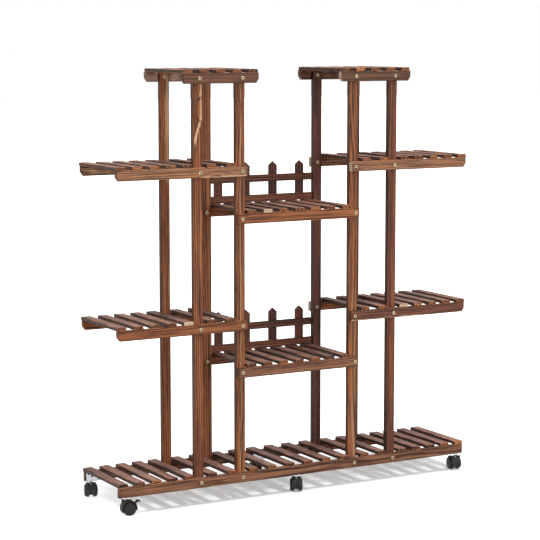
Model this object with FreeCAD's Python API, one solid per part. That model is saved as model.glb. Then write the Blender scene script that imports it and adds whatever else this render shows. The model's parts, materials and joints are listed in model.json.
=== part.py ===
import FreeCAD, Part
import math
import os
from collections import namedtuple

os.makedirs("parts", exist_ok=True)

V = FreeCAD.Vector
Y_AXIS = V(0, 1, 0)
Z_AXIS = V(0, 0, 1)

Shelf = namedtuple("Shelf", "name left right level cut_left cut_right")
Caster = namedtuple("Caster", "name x y side heading braked")

# A six-caster slatted plant stand, in millimetres.
# While it is built, X runs along the stand from its middle, Y runs back from the front rails'
# faces, and Z runs up from the floor. At the end it moves so that its box stands on the origin.

# Overall sizes
stand_length = 1200.0
frame_depth = 256.0
caster_height = 52.0

# Timber sections
rail_height = 30.0
rail_thickness = 15.0
post_width = 30.0
post_thickness = 15.0
slat_width = 30.0
slat_thickness = 10.0
slat_end_inset = 2.0
edge_ease = 0.8
overrun = 5.0
plane_tolerance = 0.08

# Heights of the shelves' rails above the base rails, centre to centre
centre_low_rise = 315.0
side_low_rise = 456.0
centre_high_rise = 772.0
side_high_rise = 912.0
top_rise = 1183.0

# The two towers of posts
tower_offset = 265.0
tower_spacing = 140.0
post_top_radius = 8.0

# Rails of the upper shelves
top_rail_length = 248.0
centre_rail_inset = 2.0
end_cut_run = 8.0
end_cut_rise = 12.0

# Slat spacing
slat_end_overhang = 2.0
wing_pitch = 53.5
wing_count = 5
bay_pitch = 64.0
bay_count = 2
middle_pitch = 63.5
middle_count = 6
centre_post_gap = 2.1
centre_count = 7
top_end_inset = 2.0
top_count = 5

# Picket fences behind the two centre shelves
fence_rail_height = 22.0
fence_rail_thickness = 10.0
fence_rail_spacing = 61.0
picket_width = 27.0
picket_thickness = 10.0
picket_height = 122.0
picket_point = 12.0
picket_pitch = 95.5
picket_count = 4
picket_shift = -3.0

# Wood screws through rails and posts
screw_head_radius = 4.3
screw_head_height = 2.2
screw_core_radius = 2.0
screw_length = 27.0
fence_screw_length = 50.0
screw_crown_share = 0.74
screw_head_sides = 10
screw_core_sides = 4
screw_fit = 0.05

# Caster brackets of bent sheet
bracket_width = 38.0
bracket_plate_height = 29.0
bracket_sheet = 2.0
bracket_corner = 6.0
bracket_tongue_width = 20.0
bracket_tongue_inset = 1.0
bracket_hole_spread = 11.5
bracket_hole_high = 23.0
bracket_hole_low = 15.5
bracket_screw_head_radius = 3.4
bracket_screw_head_height = 1.8
bracket_screw_core_radius = 1.6
bracket_screw_length = 13.0

# Caster stems
stem_radius = 3.5
stem_collar_radius = 6.0
stem_collar_height = 2.4
stem_collar_sides = 6
stem_length = 27.0
stem_fit = 0.05

# Twin wheels
wheel_radius = 20.0
wheel_gap = 14.0
wheel_width = 11.5
wheel_tread = 5.5
wheel_disc_radius = 17.0
axle_radius = 2.5
axle_fit = 0.05
caster_trail = 9.0

# Hoods over the wheels
hood_clearance = 1.2
hood_wall = 2.6
hood_width = 29.0
hood_valley = 1.6
hood_lip = 1.4
hood_web_side_gap = 1.0
hood_front_angle = 26.0
hood_rear_angle = 12.0
hood_hub_radius = 9.0
hood_crest_outer_share = 0.78
hood_crest_inner_share = 0.48
ear_height = 47.0
ear_thickness = 2.6
ear_length = 7.0
ear_offset = 5.0
ear_foot_share = 0.75
ear_round_share = 0.8

# Brake levers
lever_pivot_radius = 14.0
lever_pivot_angle = 32.0
lever_rise_angle = 42.0
lever_arm_width = 8.0
lever_arm_height = 4.4
lever_reach = 17.0
lever_hub_radius = 3.6
lever_pin_radius = 1.25
lever_pin_fit = 0.05
lever_pedal_width = 17.0
lever_pedal_length = 10.0
lever_pedal_thickness = 3.0
lever_pedal_droop = 48.0
lever_pedal_back_share = 0.12
lever_pedal_corner = 1.6
lever_side_gap = 0.5
lever_travel = 26.0
lever_window_margin = 16.0

# Where each caster stands and the way its wheels trail, in degrees from +X towards +Y
caster_end_inset = 22.0
middle_caster_shift = -8.0
front_left_heading = -10.0
front_middle_heading = 60.0
front_right_heading = 80.0
back_left_heading = 74.0
back_middle_heading = 152.0
back_right_heading = 112.0

# Levels and places that follow from the sizes above
base_level = caster_height + rail_height / 2
post_foot = caster_height
post_head = base_level + top_rise + rail_height / 2
front_post_face = rail_thickness
back_rail_face = frame_depth - rail_thickness
back_post_face = back_rail_face - post_thickness
rail_end = stand_length / 2
inner_post = tower_offset - tower_spacing / 2
outer_post = tower_offset + tower_spacing / 2
inner_post_edge = inner_post - post_width / 2
centre_rail_end = inner_post + post_width / 2 - centre_rail_inset
slat_rise = rail_height / 2
centre_pitch = (2 * (inner_post_edge - centre_post_gap) - slat_width) / (centre_count - 1)
top_pitch = (top_rail_length - 2 * top_end_inset - slat_width) / (top_count - 1)
axle_height = wheel_radius


def rotated(shape, degrees, centre=V(0, 0, 0), axis=Z_AXIS):
    """A copy of the shape turned about an axis through a point."""
    turned = shape.copy()
    turned.rotate(centre, axis, degrees)
    return turned


def moved(shape, x=0, y=0, z=0):
    """A copy of the shape shifted by the given lengths."""
    shifted = shape.copy()
    shifted.translate(V(x, y, z))
    return shifted


def box_between(x0, x1, y0, y1, z0, z1):
    """A plain box between two corners."""
    return Part.makeBox(x1 - x0, y1 - y0, z1 - z0, V(x0, y0, z0))


def rod(radius, length, start, direction):
    """A cylinder from a start point along a direction."""
    return Part.makeCylinder(radius, length, start, direction)


def face_of(edges):
    """The flat face bounded by edges that follow each other."""
    return Part.Face(Part.Wire(edges))


def polygon_face(points):
    """The flat face inside a closed polygon."""
    return Part.Face(Part.makePolygon(points + [points[0]]))


def outline_edges(shape, axis, level):
    """The edges that lie in the plane where the given coordinate has the given level."""
    found = []
    for edge in shape.Edges:
        levels = [getattr(vertex.Point, axis) for vertex in edge.Vertexes]
        if all(abs(value - level) < plane_tolerance for value in levels):
            found.append(edge)
    return found


def board(face, thickness):
    """A board cut from an upright outline facing the front, with both faces' edges eased."""
    front = face.BoundBox.YMin
    solid = face.extrude(V(0, thickness, 0))
    edges = outline_edges(solid, "y", front) + outline_edges(solid, "y", front + thickness)
    return solid.makeChamfer(edge_ease, edges)


# Rails

def rail(shelf, front):
    """A shelf's rail about its centre level, with its lower end corners cut where the shelf says."""
    low = shelf.level - rail_height / 2
    high = shelf.level + rail_height / 2
    points = [V(shelf.left, front, low)]
    if shelf.cut_left:
        points = [V(shelf.left, front, low + end_cut_rise), V(shelf.left + end_cut_run, front, low)]
    if shelf.cut_right:
        points += [V(shelf.right - end_cut_run, front, low), V(shelf.right, front, low + end_cut_rise)]
    else:
        points += [V(shelf.right, front, low)]
    points += [V(shelf.right, front, high), V(shelf.left, front, high)]
    return board(polygon_face(points), rail_thickness)


def shelf_table():
    """Every shelf with its rails' ends and level, and which of their lower corners are cut."""
    shelves = [Shelf("base", -rail_end, rail_end, base_level, False, False)]
    for name, rise in (("lower", side_low_rise), ("upper", side_high_rise)):
        level = base_level + rise
        shelves.append(Shelf("side_%s_left" % name, -rail_end, -inner_post_edge, level, True, False))
        shelves.append(Shelf("side_%s_right" % name, inner_post_edge, rail_end, level, False, True))
    for name, rise in (("lower", centre_low_rise), ("upper", centre_high_rise)):
        level = base_level + rise
        shelves.append(Shelf("centre_" + name, -centre_rail_end, centre_rail_end, level, False, False))
    half_top = top_rail_length / 2
    for name, middle in (("left", -tower_offset), ("right", tower_offset)):
        level = base_level + top_rise
        shelves.append(Shelf("top_" + name, middle - half_top, middle + half_top, level, True, True))
    return shelves


def make_rails(nodes):
    """A front and a back rail for every shelf."""
    for shelf in shelf_table():
        nodes["rail_%s_front" % shelf.name] = rail(shelf, 0)
        nodes["rail_%s_back" % shelf.name] = rail(shelf, back_rail_face)


# Posts

def post(centre, front):
    """An upright post with rounded top corners."""
    left = centre - post_width / 2
    right = centre + post_width / 2
    shoulder = post_head - post_top_radius
    corner = post_top_radius * (1 - math.sqrt(0.5))
    edges = [
        Part.makeLine(V(left, front, post_foot), V(right, front, post_foot)),
        Part.makeLine(V(right, front, post_foot), V(right, front, shoulder)),
        Part.Arc(V(right, front, shoulder), V(right - corner, front, post_head - corner),
                 V(right - post_top_radius, front, post_head)).toShape(),
        Part.makeLine(V(right - post_top_radius, front, post_head),
                      V(left + post_top_radius, front, post_head)),
        Part.Arc(V(left + post_top_radius, front, post_head),
                 V(left + corner, front, post_head - corner), V(left, front, shoulder)).toShape(),
        Part.makeLine(V(left, front, shoulder), V(left, front, post_foot)),
    ]
    return board(face_of(edges), post_thickness)


def post_table():
    """Every post as its name and the X of its centre line."""
    return [
        ("left_outer", -outer_post),
        ("left_inner", -inner_post),
        ("right_inner", inner_post),
        ("right_outer", outer_post),
    ]


def make_posts(nodes):
    """A front and a back post at every place."""
    for name, centre in post_table():
        nodes["post_%s_front" % name] = post(centre, front_post_face)
        nodes["post_%s_back" % name] = post(centre, back_post_face)


# Slats

def slat(centre, level):
    """A slat that runs front to back on top of a shelf's rails, eased along its top."""
    base = level + slat_rise
    solid = box_between(centre - slat_width / 2, centre + slat_width / 2, slat_end_inset,
                        frame_depth - slat_end_inset, base, base + slat_thickness)
    return solid.makeChamfer(edge_ease, outline_edges(solid, "z", base + slat_thickness))


def row(count, pitch, middle=0):
    """Evenly spaced places about a middle."""
    return [middle + (index - (count - 1) / 2) * pitch for index in range(count)]


def wing_places():
    """The slats of a right side shelf, from the free end inwards."""
    end_slat = rail_end + slat_end_overhang - slat_width / 2
    wing = [end_slat - index * wing_pitch for index in range(wing_count)]
    return wing + row(bay_count, bay_pitch, tower_offset)


def slat_places(name):
    """The slat centres of the named shelf."""
    wing = wing_places()
    mirrored = [-place for place in wing]
    if name == "base":
        return mirrored + row(middle_count, middle_pitch) + wing
    if name.startswith("centre"):
        return row(centre_count, centre_pitch)
    if name.startswith("top"):
        return row(top_count, top_pitch, -tower_offset if name.endswith("left") else tower_offset)
    return mirrored if name.endswith("left") else wing


def make_slats(nodes):
    """One group of slats for every shelf."""
    for shelf in shelf_table():
        solids = [slat(place, shelf.level) for place in slat_places(shelf.name)]
        nodes["slats_" + shelf.name] = Part.makeCompound(solids)


# Picket fences

def picket(centre, foot):
    """A picket with a pointed top, behind the fence rails."""
    left = centre - picket_width / 2
    right = centre + picket_width / 2
    head = foot + picket_height
    points = [V(left, back_rail_face, foot), V(right, back_rail_face, foot),
              V(right, back_rail_face, head - picket_point), V(centre, back_rail_face, head),
              V(left, back_rail_face, head - picket_point)]
    return board(polygon_face(points), picket_thickness)


def fence_rail(foot):
    """A fence rail held between the two inner back posts, flush with their back faces."""
    front = back_rail_face - fence_rail_thickness
    ends = (-inner_post_edge, inner_post_edge)
    points = [V(ends[0], front, foot), V(ends[1], front, foot),
              V(ends[1], front, foot + fence_rail_height), V(ends[0], front, foot + fence_rail_height)]
    return board(polygon_face(points), fence_rail_thickness)


def fence_feet():
    """The height where each fence stands on its shelf's slats."""
    rises = (("lower", centre_low_rise), ("upper", centre_high_rise))
    return [(name, base_level + rise + slat_rise + slat_thickness) for name, rise in rises]


def make_fences(nodes):
    """Two rails and a row of pickets behind each centre shelf."""
    for name, foot in fence_feet():
        rails = [fence_rail(foot), fence_rail(foot + fence_rail_spacing)]
        pickets = [picket(place, foot) for place in row(picket_count, picket_pitch, picket_shift)]
        nodes["fence_rails_" + name] = Part.makeCompound(rails)
        nodes["fence_pickets_" + name] = Part.makeCompound(pickets)


# Screws

def regular_outline(sides, radius, level, upright=False):
    """A closed outline of equal sides whose corners lie on a circle, square to Y or, upright, to Z."""
    points = []
    for index in range(sides + 1):
        turn = math.radians(360 * index / sides)
        across = radius * math.cos(turn)
        along = radius * math.sin(turn)
        points.append(V(across, along, level) if upright else V(across, level, along))
    return Part.makePolygon(points)


def regular_bar(sides, radius, start, length, upright=False):
    """A straight bar along +Y or, upright, along +Z with a regular outline."""
    direction = Z_AXIS if upright else Y_AXIS
    return Part.Face(regular_outline(sides, radius, start, upright)).extrude(direction * length)


def screw(head_radius, head_height, core_radius, length):
    """A pan-head screw along +Y, with its head's underside at Y = 0 and a plain core for the thread."""
    seat = regular_outline(screw_head_sides, head_radius, 0)
    crown = regular_outline(screw_head_sides, head_radius * screw_crown_share, -head_height)
    head = Part.makeLoft([seat, crown], True, True)
    return head.fuse(regular_bar(screw_core_sides, core_radius, 0, length)).removeSplitter()


def wood_screw(length):
    """The screw that joins two pieces of timber."""
    return screw(screw_head_radius, screw_head_height, screw_core_radius, length)


def bracket_screw():
    """The short screw that holds a caster bracket."""
    return screw(bracket_screw_head_radius, bracket_screw_head_height, bracket_screw_core_radius,
                 bracket_screw_length)


def crossings():
    """Every crossing of a rail and a post as its X and Z."""
    found = []
    for shelf in shelf_table():
        for name, centre in post_table():
            if shelf.left < centre < shelf.right:
                found.append((centre, shelf.level))
    return found


def fence_joints():
    """Every end of a fence rail as the side the screw points to, and the screw's X and Z."""
    found = []
    for name, foot in fence_feet():
        for rise in (0, fence_rail_spacing):
            level = foot + rise + fence_rail_height / 2
            found.append((1, -inner_post - post_width / 2, level))
            found.append((-1, inner_post + post_width / 2, level))
    return found


def fence_screw(side, x, level):
    """A screw driven through a post's outer side into the end of a fence rail."""
    middle = back_rail_face - fence_rail_thickness / 2
    return moved(rotated(wood_screw(fence_screw_length), -90 * side), x, middle, level)


def make_wood_screws(nodes):
    """One screw at every crossing, front and back, and a longer one at every end of a fence rail."""
    solids = []
    for centre, level in crossings():
        solids.append(moved(wood_screw(screw_length), centre, 0, level))
        solids.append(moved(wood_screw(screw_length), centre, back_post_face, level))
    nodes["wood_screws"] = Part.makeCompound(solids)
    long_screws = [fence_screw(side, x, level) for side, x, level in fence_joints()]
    nodes["fence_screws"] = Part.makeCompound(long_screws)


# Casters

def caster_table():
    """Every caster with its place, the rail's side, its heading and whether it has a brake."""
    end = rail_end - caster_end_inset
    front = rail_thickness / 2
    back = frame_depth - rail_thickness / 2
    return [
        Caster("front_left", -end, front, 1, front_left_heading, True),
        Caster("front_middle", middle_caster_shift, front, 1, front_middle_heading, False),
        Caster("front_right", end, front, 1, front_right_heading, False),
        Caster("back_left", -end, back, -1, back_left_heading, False),
        Caster("back_middle", middle_caster_shift, back, -1, back_middle_heading, True),
        Caster("back_right", end, back, -1, back_right_heading, False),
    ]


def bracket_sheet_solid():
    """The bent sheet of a front bracket: a plate inside the rail and a tongue under it."""
    inside = rail_thickness / 2
    outside = inside + bracket_sheet
    under = caster_height - bracket_sheet
    top = caster_height + bracket_plate_height
    tongue = -inside + bracket_tongue_inset
    bend = edge_ease
    swing = bend + bracket_sheet
    half = math.sqrt(0.5)
    centre_y = inside - bend
    centre_z = caster_height + bend
    half_width = -bracket_width / 2
    edges = [
        Part.makeLine(V(half_width, tongue, under), V(half_width, centre_y, under)),
        Part.Arc(V(half_width, centre_y, under),
                 V(half_width, centre_y + swing * half, centre_z - swing * half),
                 V(half_width, outside, centre_z)).toShape(),
        Part.makeLine(V(half_width, outside, centre_z), V(half_width, outside, top)),
        Part.makeLine(V(half_width, outside, top), V(half_width, inside, top)),
        Part.makeLine(V(half_width, inside, top), V(half_width, inside, centre_z)),
        Part.Arc(V(half_width, inside, centre_z),
                 V(half_width, centre_y + bend * half, centre_z - bend * half),
                 V(half_width, centre_y, caster_height)).toShape(),
        Part.makeLine(V(half_width, centre_y, caster_height), V(half_width, tongue, caster_height)),
        Part.makeLine(V(half_width, tongue, caster_height), V(half_width, tongue, under)),
    ]
    return face_of(edges).extrude(V(bracket_width, 0, 0))


def plate_corner_tool(side):
    """What is left of a square corner once a rounded corner is taken from it."""
    top = caster_height + bracket_plate_height
    edge = side * bracket_width / 2
    inner = edge - side * bracket_corner
    low = top - bracket_corner
    half = bracket_corner * math.sqrt(0.5)
    outer_edge = edge + side * overrun
    high = top + overrun
    start = rail_thickness / 2 - overrun
    edges = [
        Part.Arc(V(edge, start, low), V(inner + side * half, start, low + half),
                 V(inner, start, top)).toShape(),
        Part.makeLine(V(inner, start, top), V(inner, start, high)),
        Part.makeLine(V(inner, start, high), V(outer_edge, start, high)),
        Part.makeLine(V(outer_edge, start, high), V(outer_edge, start, low)),
        Part.makeLine(V(outer_edge, start, low), V(edge, start, low)),
    ]
    return face_of(edges).extrude(V(0, bracket_sheet + overrun * 2, 0))


def tongue_side_tool(side):
    """The wedge that tapers one side of the tongue."""
    under = caster_height - bracket_sheet - overrun
    root = rail_thickness / 2 - edge_ease
    tip = -rail_thickness / 2 + bracket_tongue_inset
    past = tip - overrun
    wide = side * bracket_width / 2
    narrow = side * bracket_tongue_width / 2
    points = [V(wide, root, under), V(narrow, tip, under), V(narrow, past, under),
              V(wide + side * overrun, past, under), V(wide + side * overrun, root, under)]
    height = overrun + bracket_sheet + edge_ease / 2
    return polygon_face(points).extrude(V(0, 0, height))


def bracket_hole_places():
    """The screw holes of a bracket as X from its middle and Z."""
    return [
        (-bracket_hole_spread, caster_height + bracket_hole_high),
        (0, caster_height + bracket_hole_low),
        (bracket_hole_spread, caster_height + bracket_hole_high),
    ]


def front_bracket():
    """The bracket of a front caster about its stem's axis."""
    shape = bracket_sheet_solid()
    for side in (-1, 1):
        shape = shape.cut(plate_corner_tool(side))
        shape = shape.cut(tongue_side_tool(side))
    start = rail_thickness / 2 - overrun
    for x, z in bracket_hole_places():
        hole = regular_bar(screw_core_sides, bracket_screw_core_radius + screw_fit, start,
                           bracket_sheet + overrun * 2)
        shape = shape.cut(moved(hole, x, 0, z))
    return shape


def stem():
    """A stem with a six-sided collar welded to the tongue from below."""
    under = caster_height - bracket_sheet
    shank = rod(stem_radius, stem_length, V(0, 0, under - stem_length), Z_AXIS)
    collar = regular_bar(stem_collar_sides, stem_collar_radius, under - stem_collar_height,
                         stem_collar_height, True)
    return shank.fuse(collar).removeSplitter()


def bracket_screws_front():
    """The screws of a front bracket about its stem's axis, driven outwards."""
    head_seat = rail_thickness / 2 + bracket_sheet
    return [moved(rotated(bracket_screw(), 180), x, head_seat, z) for x, z in bracket_hole_places()]


def placed(shape, caster):
    """A front bracket's piece at its caster's place, turned round for the back rail."""
    return moved(rotated(shape, 0 if caster.side > 0 else 180), caster.x, caster.y)


def headed(shape, caster):
    """A piece that swivels, turned from +X to its caster's heading at its place."""
    return moved(rotated(shape, caster.heading), caster.x, caster.y)


def make_brackets(nodes):
    """The brackets, their screws and the stems, each as a group of equal solids."""
    brackets = []
    screws = []
    stems = []
    for caster in caster_table():
        brackets.append(placed(front_bracket(), caster))
        screws += [placed(shape, caster) for shape in bracket_screws_front()]
        stems.append(moved(stem(), caster.x, caster.y))
    nodes["caster_brackets"] = Part.makeCompound(brackets)
    nodes["bracket_screws"] = Part.makeCompound(screws)
    nodes["caster_stems"] = Part.makeCompound(stems)


def wheel():
    """A wheel on the +Y side, about the axle through the origin."""
    inner = wheel_gap / 2
    outer = inner + wheel_width
    points = [V(0, inner, 0), V(wheel_radius, inner, 0), V(wheel_radius, inner + wheel_tread, 0),
              V(wheel_disc_radius, outer, 0), V(0, outer, 0)]
    return polygon_face(points).revolve(V(0, 0, 0), Y_AXIS, 360)


def axle():
    """The spindle between the two wheels."""
    return rod(axle_radius, wheel_gap, V(0, -wheel_gap / 2, 0), Y_AXIS)


def wheel_set():
    """Both wheels and their axle about the stem's axis, trailing along +X."""
    left = wheel()
    right = rotated(wheel(), 180)
    return [moved(shape, caster_trail, 0, axle_height) for shape in (left, right, axle())]


def fender():
    """The two-lobed arch over both wheels, revolved about the axle."""
    half = hood_width / 2
    inside = wheel_radius + hood_clearance
    crest = inside + hood_wall
    valley = crest - hood_valley
    lobe = [(inside + hood_lip, half), (crest, half * hood_crest_outer_share),
            (crest, half * hood_crest_inner_share)]
    mirrored = [(radius, -y) for radius, y in reversed(lobe)]
    outline = [(inside, -half), (inside, half)] + lobe + [(valley, 0)] + mirrored
    arch = polygon_face([V(radius, y, 0) for radius, y in outline])
    sweep = 180 + hood_front_angle + hood_rear_angle
    arch = arch.revolve(V(0, 0, 0), Y_AXIS, -sweep)
    return rotated(arch, hood_rear_angle, V(0, 0, 0), Y_AXIS)


def web():
    """The flat body between the wheels that joins the arch, the stem's socket and the axle."""
    half = wheel_gap / 2 - hood_web_side_gap
    disc = rod(wheel_radius + hood_clearance, half * 2, V(0, -half, 0), Y_AXIS)
    reach = wheel_radius + hood_clearance + overrun
    low = box_between(-reach, reach, -half - overrun, half + overrun, -reach, -hood_hub_radius)
    return disc.cut(low)


def hood_shell():
    """The hood's solid before its bores, about the stem's axis and trailing along +X."""
    shape = moved(fender().fuse(web()), caster_trail, 0, axle_height)
    return shape.fuse([ear(-1), ear(1)])


def ear(side):
    """The raised ear on one lobe beside the stem."""
    outer = hood_width / 2 - hood_lip / 2
    inner = outer - ear_thickness
    y0 = min(side * outer, side * inner)
    foot = axle_height + wheel_radius * ear_foot_share
    start = -ear_offset - ear_length / 2
    finish = -ear_offset + ear_length / 2
    plate = box_between(start, finish, y0, y0 + ear_thickness, foot, ear_height)
    top_edges = [edge for edge in outline_edges(plate, "z", ear_height)
                 if abs(edge.Vertexes[0].X - edge.Vertexes[1].X) < edge_ease]
    plate = plate.makeChamfer(ear_thickness * ear_round_share, top_edges)
    keep_out = rod(wheel_radius + hood_clearance, hood_width * 2,
                   V(caster_trail, -hood_width, axle_height), Y_AXIS)
    return plate.cut(keep_out)


def lever_centre():
    """The lever's pivot as X and Z about the stem's axis."""
    angle = math.radians(lever_pivot_angle)
    return (caster_trail + lever_pivot_radius * math.cos(angle),
            axle_height + lever_pivot_radius * math.sin(angle))


def lever_slot():
    """The window in the hood where the lever's arm swings, with room for its hub."""
    pivot_x, pivot_z = lever_centre()
    half = lever_arm_width / 2 + lever_side_gap
    room = lever_hub_radius + lever_side_gap
    reach = lever_pivot_radius + lever_reach
    high = math.radians(lever_rise_angle + lever_window_margin)
    low = math.radians(lever_rise_angle - lever_travel - lever_window_margin)
    points = [V(-room, -half, -room), V(room, -half, -room),
              V(reach * math.cos(low), -half, reach * math.sin(low)),
              V(reach * math.cos(high), -half, reach * math.sin(high)), V(-room, -half, room)]
    return moved(polygon_face(points).extrude(V(0, half * 2, 0)), pivot_x, 0, pivot_z)


def hood(braked):
    """A whole hood about the stem's axis, trailing along +X."""
    shape = hood_shell()
    half = hood_width / 2 + overrun
    shape = shape.cut(rod(axle_radius + axle_fit, half * 2, V(caster_trail, -half, axle_height), Y_AXIS))
    stem_end = V(0, 0, caster_height - bracket_sheet - stem_length)
    shape = shape.cut(rod(stem_radius + stem_fit, stem_length, stem_end, Z_AXIS))
    if braked:
        pivot_x, pivot_z = lever_centre()
        shape = shape.cut(lever_slot())
        pin_start = V(pivot_x, -wheel_gap / 2, pivot_z)
        shape = shape.cut(rod(lever_pin_radius + lever_pin_fit, wheel_gap, pin_start, Y_AXIS))
    return shape.removeSplitter()


def lever():
    """A brake lever and its pin about the stem's axis."""
    pivot_x, pivot_z = lever_centre()
    half = lever_arm_width / 2
    hub = rod(lever_hub_radius, lever_arm_width, V(0, -half, 0), Y_AXIS)
    arm = box_between(0, lever_reach, -half, half, -lever_arm_height / 2, lever_arm_height / 2)
    arm = rotated(arm, -lever_rise_angle, V(0, 0, 0), Y_AXIS)
    back = -lever_pedal_length * lever_pedal_back_share
    pedal = box_between(back, back + lever_pedal_length, -lever_pedal_width / 2, lever_pedal_width / 2,
                        -lever_pedal_thickness, 0)
    rounded = [edge for edge in pedal.Edges if abs(edge.Vertexes[0].Z - edge.Vertexes[1].Z) > edge_ease]
    pedal = pedal.makeChamfer(lever_pedal_corner, rounded)
    pedal = rotated(pedal, -lever_rise_angle + lever_pedal_droop, V(0, 0, 0), Y_AXIS)
    tip = math.radians(lever_rise_angle)
    pedal = moved(pedal, lever_reach * math.cos(tip), 0, lever_reach * math.sin(tip) + lever_pedal_thickness)
    shape = hub.fuse(arm).fuse(pedal)
    pin_hole = rod(lever_pin_radius, lever_arm_width * 2, V(0, -lever_arm_width, 0), Y_AXIS)
    shape = shape.cut(pin_hole).removeSplitter()
    pin_half = wheel_gap / 2 - hood_web_side_gap
    pin = rod(lever_pin_radius, pin_half * 2, V(0, -pin_half, 0), Y_AXIS)
    return [moved(piece, pivot_x, 0, pivot_z) for piece in (shape, pin)]


def make_casters(nodes):
    """The swivelling hoods, their wheels and the two brake levers."""
    for caster in caster_table():
        nodes["caster_%s_hood" % caster.name] = headed(hood(caster.braked), caster)
        wheels = [headed(shape, caster) for shape in wheel_set()]
        nodes["caster_%s_wheels" % caster.name] = Part.makeCompound(wheels)
        if caster.braked:
            pieces = [headed(shape, caster) for shape in lever()]
            nodes["caster_%s_brake_lever" % caster.name] = Part.makeCompound(pieces)


def settle(nodes):
    """Moves every node so that the whole stand's box rests on the origin, and reports the shift."""
    whole = FreeCAD.BoundBox()
    for shape in nodes.values():
        whole.add(shape.optimalBoundingBox(False, False))
    shift = V(-(whole.XMin + whole.XMax) / 2, -(whole.YMin + whole.YMax) / 2, 0)
    for shape in nodes.values():
        shape.translate(shift)
    print("moved by %.4f %.4f" % (shift.x, shift.y))
    print("overall %.2f %.2f %.2f from %.3f" % (whole.XLength, whole.YLength, whole.ZLength, whole.ZMin))
    return shift


def report_joints(shift):
    """Prints the pivots that the swivels, wheels and levers turn about."""
    pivot_x, pivot_z = lever_centre()
    for caster in caster_table():
        ahead = V(math.cos(math.radians(caster.heading)), math.sin(math.radians(caster.heading)), 0)
        across = V(-ahead.y, ahead.x, 0)
        place = V(caster.x, caster.y, 0) + shift
        hub = place + ahead * caster_trail
        print("caster", caster.name, "stem %.5f %.5f" % (place.x, place.y),
              "axle %.5f %.5f %.5f" % (hub.x, hub.y, axle_height),
              "across %.8f %.8f" % (across.x, across.y))
        if caster.braked:
            pivot = place + ahead * pivot_x
            print("lever", caster.name, "pivot %.5f %.5f %.5f" % (pivot.x, pivot.y, pivot_z))


def build():
    """Makes every node and writes each to its own file."""
    nodes = {}
    make_rails(nodes)
    make_posts(nodes)
    make_slats(nodes)
    make_fences(nodes)
    make_wood_screws(nodes)
    make_brackets(nodes)
    make_casters(nodes)
    shift = settle(nodes)
    report_joints(shift)
    for name, shape in nodes.items():
        shape.exportStep("parts/%s.step" % name)
    print(len(nodes), "nodes")


build()
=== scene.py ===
"""A stepped plant stand of scorched timber on twin-wheel casters.

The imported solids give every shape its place. This script gives them their finishes, adds the small
hardware that the solids leave out, and sets up a plain white studio with the camera of the photograph.
"""

import json
import logging
import math
import random
from dataclasses import dataclass, field
from enum import Enum
from typing import Any

import bmesh
import bpy
import numpy as np
from mathutils import Matrix, Vector

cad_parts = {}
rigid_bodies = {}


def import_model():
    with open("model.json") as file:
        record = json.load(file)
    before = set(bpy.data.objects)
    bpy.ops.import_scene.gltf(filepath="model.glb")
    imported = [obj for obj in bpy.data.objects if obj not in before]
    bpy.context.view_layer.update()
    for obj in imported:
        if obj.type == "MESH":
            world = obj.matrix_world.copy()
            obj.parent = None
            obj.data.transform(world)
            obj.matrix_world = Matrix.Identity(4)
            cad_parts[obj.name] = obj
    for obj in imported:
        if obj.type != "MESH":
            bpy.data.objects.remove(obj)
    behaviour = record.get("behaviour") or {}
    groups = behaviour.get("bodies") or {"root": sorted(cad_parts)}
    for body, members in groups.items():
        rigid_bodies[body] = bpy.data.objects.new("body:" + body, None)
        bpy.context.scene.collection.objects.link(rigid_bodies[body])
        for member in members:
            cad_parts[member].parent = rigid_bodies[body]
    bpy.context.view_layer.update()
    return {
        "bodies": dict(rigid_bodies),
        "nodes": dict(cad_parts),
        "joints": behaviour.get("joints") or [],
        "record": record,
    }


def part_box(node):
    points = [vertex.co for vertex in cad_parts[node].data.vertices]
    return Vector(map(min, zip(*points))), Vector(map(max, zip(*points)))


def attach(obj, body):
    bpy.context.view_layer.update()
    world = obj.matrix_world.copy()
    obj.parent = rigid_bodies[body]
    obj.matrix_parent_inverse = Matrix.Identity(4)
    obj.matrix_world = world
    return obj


LOG = logging.getLogger("plant_stand")

Colour = tuple[float, float, float, float]
Triple = tuple[float, float, float]
Feeds = dict[Any, Any]
MILLIMETRE = 0.001
WELD_DISTANCE = 1e-6
WHITE = (1.0, 1.0, 1.0, 1.0)


def paint(red: int, green: int, blue: int) -> Colour:
    """Turns a colour as a screen shows it into the linear one that a shader takes.

    Args:
        red: Red from 0 to 255.
        green: Green from 0 to 255.
        blue: Blue from 0 to 255.

    Returns:
        The linear colour with full alpha.
    """
    linear = []
    for value in (red, green, blue):
        share = value / 255
        linear.append(share / 12.92 if share <= 0.04045 else ((share + 0.055) / 1.055) ** 2.4)
    return (linear[0], linear[1], linear[2], 1.0)


# Meshes and objects


def mesh_of(shape: bmesh.types.BMesh, name: str) -> bpy.types.Mesh:
    """Turns a shape into a mesh and frees it.

    Args:
        shape: The shape.
        name: The mesh's name.

    Returns:
        The mesh.
    """
    mesh = bpy.data.meshes.new(name)
    shape.to_mesh(mesh)
    shape.free()
    return mesh


def add_object(name: str, data: Any, place: Any = (0.0, 0.0, 0.0),
               way: Vector | None = None) -> bpy.types.Object:
    """Puts a new object in the scene.

    Args:
        name: Its name.
        data: Its mesh, lamp or camera.
        place: Where it stands.
        way: The way that a lamp or camera looks.

    Returns:
        The object.
    """
    made = bpy.data.objects.new(name, data)
    bpy.context.scene.collection.objects.link(made)
    made.location = place
    if way:
        made.rotation_euler = way.to_track_quat("-Z", "Y").to_euler()
    return made


def set_material(piece: bpy.types.Object, material: bpy.types.Material) -> None:
    """Puts one material in every slot of a piece and reports the piece.

    Args:
        piece: The piece.
        material: The material.
    """
    if not piece.material_slots:
        piece.data.materials.append(material)
    for slot in piece.material_slots:
        slot.material = material
    LOG.info("dressed %s", piece.name)


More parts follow.
